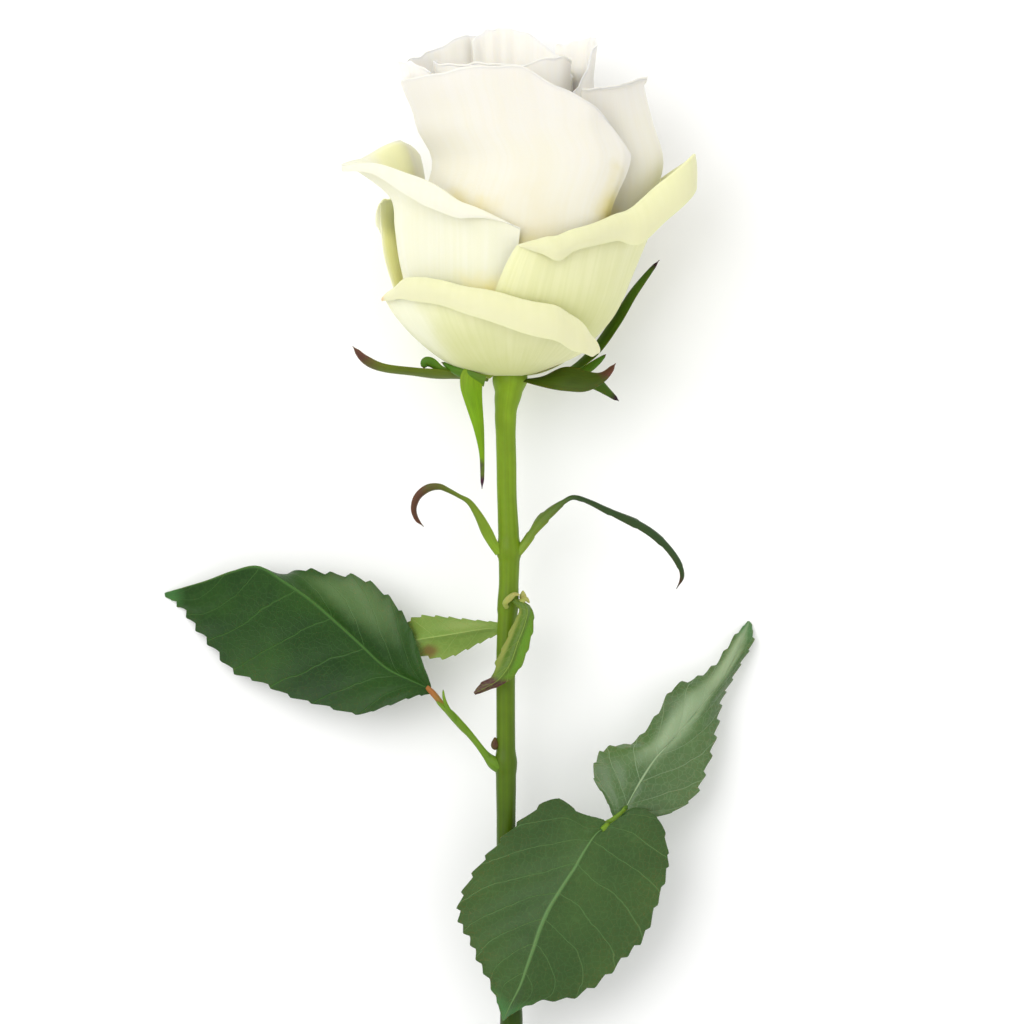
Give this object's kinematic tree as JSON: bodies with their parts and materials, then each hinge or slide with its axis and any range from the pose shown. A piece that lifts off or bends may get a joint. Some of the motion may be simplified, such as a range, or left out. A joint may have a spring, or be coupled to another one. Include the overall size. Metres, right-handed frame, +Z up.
{
  "type": "cut rose",
  "caption": "Cut rose lying on a surface: half-open cream-white bloom with layered petals and sepals on a leafy green stem with serrated compound leaves.",
  "frame": {"origin": "on the surface that the rose lies on, under the middle of its bounding box", "axes": "+Y along the stem towards the bloom, +Z up from the surface, +X to the right seen from above with the bloom at the far end"},
  "size_m": [0.1194, 0.3008, 0.0487],
  "materials": {
    "stem": "smooth waxy green stem, paler on the bloom's side",
    "guard_petals": "velvety petal, pale yellow-green at the foot, cream at the rim",
    "bud_petals": "velvety cream-white petal",
    "sepals": "green sepals and bracts with brown tips",
    "leaves": "satin dark green leaf with paler veins",
    "young_leaves": "satin light green leaf"
  },
  "bodies": {
    "root": {"stem": "stem", "petal_front_guard": "guard_petals", "petal_right_guard": "guard_petals", "petal_left_guard": "guard_petals", "petal_left_back_guard": "guard_petals", "petal_back_guard": "guard_petals", "petal_right_back_guard": "guard_petals", "petal_right": "bud_petals", "petal_back_middle": "bud_petals", "petal_bud_front": "bud_petals", "petal_bud_left": "bud_petals", "petal_bud_right": "bud_petals", "petal_bud_back": "bud_petals", "bloom_heart": "bud_petals", "sepal_left": "sepals", "sepal_hanging": "sepals", "sepal_right": "sepals", "sepal_low_right": "sepals", "sepal_upper_right": "sepals", "bract_left": "sepals", "bract_right": "sepals", "leaf_left": "leaves", "leaf_right": "leaves", "small_leaf_back": "young_leaves", "small_leaf_front": "young_leaves"}
  },
  "joints": []
}
